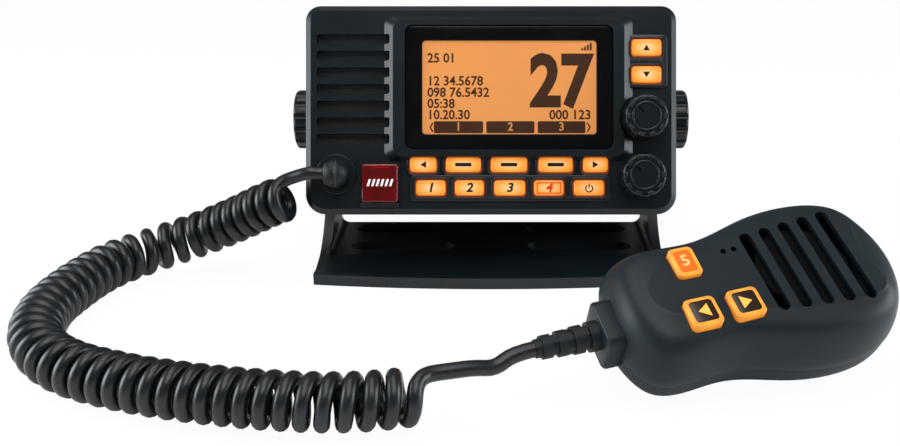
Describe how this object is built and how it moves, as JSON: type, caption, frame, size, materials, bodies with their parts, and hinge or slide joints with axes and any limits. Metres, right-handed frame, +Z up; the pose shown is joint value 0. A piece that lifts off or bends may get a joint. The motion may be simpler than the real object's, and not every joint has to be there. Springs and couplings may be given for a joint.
{
  "type": "fixed-mount marine radio with hand microphone",
  "caption": "Fixed-mount marine radio tilting in a gimbal bracket, with a hand microphone on a curly cord.",
  "frame": {"origin": "centre of the bracket's four screw slots, on the surface the bracket stands on", "axes": "+X to the right of the radio's face, +Y away from the person using it, +Z up"},
  "size_m": [0.3315, 0.2722, 0.1165],
  "materials": {
    "bracket_plastic": "satin black moulded plastic",
    "panel_plastic": "satin blue-black moulded plastic",
    "window": "gloss black printed window",
    "display": "amber backlit display",
    "amber_key": "backlit amber rubber",
    "red_cover": "clear red moulded cover",
    "red_button": "red button",
    "knob_plastic": "soft black knob",
    "rubber": "black rubber",
    "cord_jacket": "satin black cord jacket",
    "housing_metal": "black painted die casting",
    "board": "circuit board",
    "steel": "stainless steel",
    "brass": "brass",
    "nickel": "nickel plate",
    "cloth": "black speaker cloth",
    "cone": "black driver",
    "mic_plastic": "textured slate-black plastic",
    "mic_key_dark": "dark key face with an amber rim"
  },
  "bodies": {
    "bracket": {"bracket": "bracket_plastic", "cord_coil": "cord_jacket"},
    "radio": {"front_panel": "panel_plastic", "display_lens": "window", "lcd_module": "display", "keypad_membrane": "rubber", "front_board": "board", "speaker": "cone", "speaker_cloth": "cloth", "rotary_encoders": "steel", "mic_cord_gland": "panel_plastic", "radio_cord_boot": "rubber", "rear_chassis": "housing_metal", "case_gasket": "rubber", "case_screws": "steel", "main_board": "board", "antenna_socket": "nickel", "rear_cable_gland": "rubber", "pivot_washers": "rubber", "pivot_inserts": "brass", "cord_lead_radio": "cord_jacket"},
    "clamp_knob_left": {"clamp_knob_left": "knob_plastic"},
    "clamp_knob_right": {"clamp_knob_right": "knob_plastic"},
    "volume_knob": {"volume_knob": "knob_plastic"},
    "squelch_knob": {"squelch_knob": "knob_plastic"},
    "distress_button": {"distress_button": "red_button"},
    "distress_cover": {"distress_cover": "red_cover", "cover_hinge_pin": "steel"},
    "microphone": {"mic_front_shell": "mic_plastic", "mic_back_shell": "mic_plastic", "mic_speaker": "cone", "mic_board": "board", "mic_element": "steel", "mic_hanger_stud": "nickel", "mic_screws": "steel", "mic_cord_block": "mic_plastic", "mic_cord_boot": "rubber", "cord_lead_mic": "cord_jacket"},
    "mic_ptt": {"mic_ptt": "rubber"},
    "key_left": {"key_left": "amber_key"},
    "key_soft_1": {"key_soft_1": "amber_key"},
    "key_soft_2": {"key_soft_2": "amber_key"},
    "key_soft_3": {"key_soft_3": "amber_key"},
    "key_right": {"key_right": "amber_key"},
    "key_high_low": {"key_high_low": "amber_key"},
    "key_menu": {"key_menu": "amber_key"},
    "key_clear": {"key_clear": "amber_key"},
    "key_call_channel": {"key_call_channel": "amber_key"},
    "key_power": {"key_power": "amber_key"},
    "key_up": {"key_up": "amber_key"},
    "key_down": {"key_down": "amber_key"},
    "mic_key_left": {"mic_key_left": "mic_key_dark"},
    "mic_key_right": {"mic_key_right": "mic_key_dark"},
    "mic_key_call": {"mic_key_call": "amber_key"}
  },
  "joints": [
    {"name": "tilt", "type": "hinge", "parent": "bracket", "child": "radio", "pos_m": [0, 0.013, 0.06], "axis": [-1, 0, 0], "range_deg": [-20, 5], "deforming": ["cord_lead_radio"]},
    {"name": "clamp_left", "type": "hinge", "parent": "radio", "child": "clamp_knob_left", "pos_m": [-0.085, 0.013, 0.06], "axis": [-1, 0, 0], "continuous": true},
    {"name": "clamp_right", "type": "hinge", "parent": "radio", "child": "clamp_knob_right", "pos_m": [0.085, 0.013, 0.06], "axis": [1, 0, 0], "continuous": true},
    {"name": "volume_turn", "type": "hinge", "parent": "radio", "child": "volume_knob", "pos_m": [0.0652, -0.03532, 0.07344], "axis": [0, -0.9397, 0.342], "range_deg": [-150, 150]},
    {"name": "squelch_turn", "type": "hinge", "parent": "radio", "child": "squelch_knob", "pos_m": [0.0643, -0.04377, 0.05023], "axis": [0, -0.9397, 0.342], "range_deg": [-150, 150]},
    {"name": "distress_press", "type": "slide", "parent": "radio", "child": "distress_button", "axis": [0, 0.9397, -0.342], "range_m": [0, 0.0015], "stiffness_N_per_m": 600},
    {"name": "distress_cover_lift", "type": "hinge", "parent": "radio", "child": "distress_cover", "pos_m": [-0.0473, -0.0388, 0.05188], "axis": [-1, 0, 0], "range_deg": [0, 70]},
    {"name": "mic_lift", "type": "slide", "parent": "bracket", "child": "microphone", "axis": [0, 0, 1], "range_m": [0, 0.12], "deforming": ["cord_lead_mic"]},
    {"name": "ptt_press", "type": "slide", "parent": "microphone", "child": "mic_ptt", "axis": [0.2983, -0.8196, -0.4892], "range_m": [0, 0.002], "stiffness_N_per_m": 800},
    {"name": "key_left_press", "type": "slide", "parent": "radio", "child": "key_left", "axis": [0, 0.9397, -0.342], "range_m": [0, 0.0009], "stiffness_N_per_m": 600},
    {"name": "key_soft_1_press", "type": "slide", "parent": "radio", "child": "key_soft_1", "axis": [0, 0.9397, -0.342], "range_m": [0, 0.0009], "stiffness_N_per_m": 600},
    {"name": "key_soft_2_press", "type": "slide", "parent": "radio", "child": "key_soft_2", "axis": [0, 0.9397, -0.342], "range_m": [0, 0.0009], "stiffness_N_per_m": 600},
    {"name": "key_soft_3_press", "type": "slide", "parent": "radio", "child": "key_soft_3", "axis": [0, 0.9397, -0.342], "range_m": [0, 0.0009], "stiffness_N_per_m": 600},
    {"name": "key_right_press", "type": "slide", "parent": "radio", "child": "key_right", "axis": [0, 0.9397, -0.342], "range_m": [0, 0.0009], "stiffness_N_per_m": 600},
    {"name": "key_high_low_press", "type": "slide", "parent": "radio", "child": "key_high_low", "axis": [0, 0.9397, -0.342], "range_m": [0, 0.0009], "stiffness_N_per_m": 600},
    {"name": "key_menu_press", "type": "slide", "parent": "radio", "child": "key_menu", "axis": [0, 0.9397, -0.342], "range_m": [0, 0.0009], "stiffness_N_per_m": 600},
    {"name": "key_clear_press", "type": "slide", "parent": "radio", "child": "key_clear", "axis": [0, 0.9397, -0.342], "range_m": [0, 0.0009], "stiffness_N_per_m": 600},
    {"name": "key_call_channel_press", "type": "slide", "parent": "radio", "child": "key_call_channel", "axis": [0, 0.9397, -0.342], "range_m": [0, 0.0009], "stiffness_N_per_m": 600},
    {"name": "key_power_press", "type": "slide", "parent": "radio", "child": "key_power", "axis": [0, 0.9397, -0.342], "range_m": [0, 0.0009], "stiffness_N_per_m": 600},
    {"name": "key_up_press", "type": "slide", "parent": "radio", "child": "key_up", "axis": [0, 0.9397, -0.342], "range_m": [0, 0.0009], "stiffness_N_per_m": 600},
    {"name": "key_down_press", "type": "slide", "parent": "radio", "child": "key_down", "axis": [0, 0.9397, -0.342], "range_m": [0, 0.0009], "stiffness_N_per_m": 600},
    {"name": "mic_key_left_press", "type": "slide", "parent": "microphone", "child": "mic_key_left", "axis": [-0.0764, 0.4904, -0.8682], "range_m": [0, 0.0008], "stiffness_N_per_m": 600},
    {"name": "mic_key_right_press", "type": "slide", "parent": "microphone", "child": "mic_key_right", "axis": [-0.0764, 0.4904, -0.8682], "range_m": [0, 0.0008], "stiffness_N_per_m": 600},
    {"name": "mic_key_call_press", "type": "slide", "parent": "microphone", "child": "mic_key_call", "axis": [-0.0764, 0.4904, -0.8682], "range_m": [0, 0.0008], "stiffness_N_per_m": 600}
  ]
}
